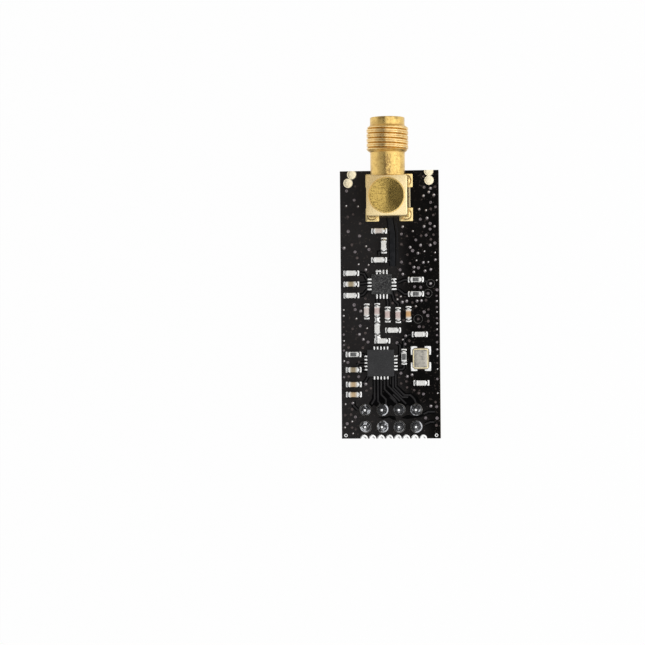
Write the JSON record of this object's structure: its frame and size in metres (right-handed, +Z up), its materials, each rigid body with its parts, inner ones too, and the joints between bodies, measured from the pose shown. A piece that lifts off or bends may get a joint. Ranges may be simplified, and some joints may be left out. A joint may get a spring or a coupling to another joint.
{
  "type": "rf transceiver module",
  "caption": "Narrow radio circuit board with small chips, a two-row pin header below one end and a right-angle threaded coaxial jack on the other.",
  "frame": {"origin": "centre of the pin field, on the face of the header housing that the long pins leave", "axes": "+Z up from the pins through the board, +Y along the board to the jack's mouth, +X across the board"},
  "size_m": [0.0148, 0.0478, 0.0164],
  "materials": {
    "board_mask": "satin",
    "tinned_copper": "satin",
    "solder": "gloss",
    "gold_plate": "satin",
    "header_plastic": "matte",
    "pin_plate": "gloss",
    "chip_moulding": "matte",
    "lead_tin": "satin",
    "tan_ceramic": "satin",
    "pink_ceramic": "satin",
    "white_ceramic": "satin",
    "resistor_coat": "satin",
    "crystal_ceramic": "matte",
    "seal_plate": "satin",
    "lid_metal": "satin",
    "jack_plate": "satin",
    "white_insulator": "satin"
  },
  "bodies": {
    "root": {"amplifier_capacitor_1": "white_ceramic", "amplifier_capacitor_2": "tan_ceramic", "amplifier_capacitor_3": "white_ceramic", "balun_inductor_1": "white_ceramic", "balun_inductor_2": "white_ceramic", "bias_resistor": "resistor_coat", "circuit_board": "board_mask", "component_pads": "tinned_copper", "component_solder": "solder", "control_resistor_1": "resistor_coat", "control_resistor_2": "resistor_coat", "crystal_base": "crystal_ceramic", "crystal_capacitor_1": "white_ceramic", "crystal_capacitor_2": "white_ceramic", "crystal_lid": "lid_metal", "crystal_resistor": "resistor_coat", "crystal_seal": "seal_plate", "edge_pads": "tinned_copper", "filter_capacitor_1": "white_ceramic", "filter_capacitor_2": "pink_ceramic", "filter_inductor": "white_ceramic", "front_end_body": "chip_moulding", "front_end_leads": "lead_tin", "header_housing": "header_plastic", "header_pads": "tinned_copper", "header_pin_1": "pin_plate", "header_pin_2": "pin_plate", "header_pin_3": "pin_plate", "header_pin_4": "pin_plate", "header_pin_5": "pin_plate", "header_pin_6": "pin_plate", "header_pin_7": "pin_plate", "header_pin_8": "pin_plate", "header_solder": "solder", "jack_barrel": "jack_plate", "jack_block": "jack_plate", "jack_cap": "jack_plate", "jack_contact": "gold_plate", "jack_insulator": "white_insulator", "jack_pads": "gold_plate", "jack_solder": "solder", "jack_tail": "gold_plate", "jack_tail_insulator": "white_insulator", "match_inductor": "white_ceramic", "row_capacitor_1": "pink_ceramic", "row_capacitor_2": "pink_ceramic", "row_capacitor_3": "pink_ceramic", "row_capacitor_4": "pink_ceramic", "row_capacitor_5": "tan_ceramic", "supply_capacitor_1": "tan_ceramic", "supply_capacitor_2": "tan_ceramic", "supply_capacitor_3": "tan_ceramic", "transceiver_body": "chip_moulding", "transceiver_leads": "lead_tin"}
  },
  "joints": []
}
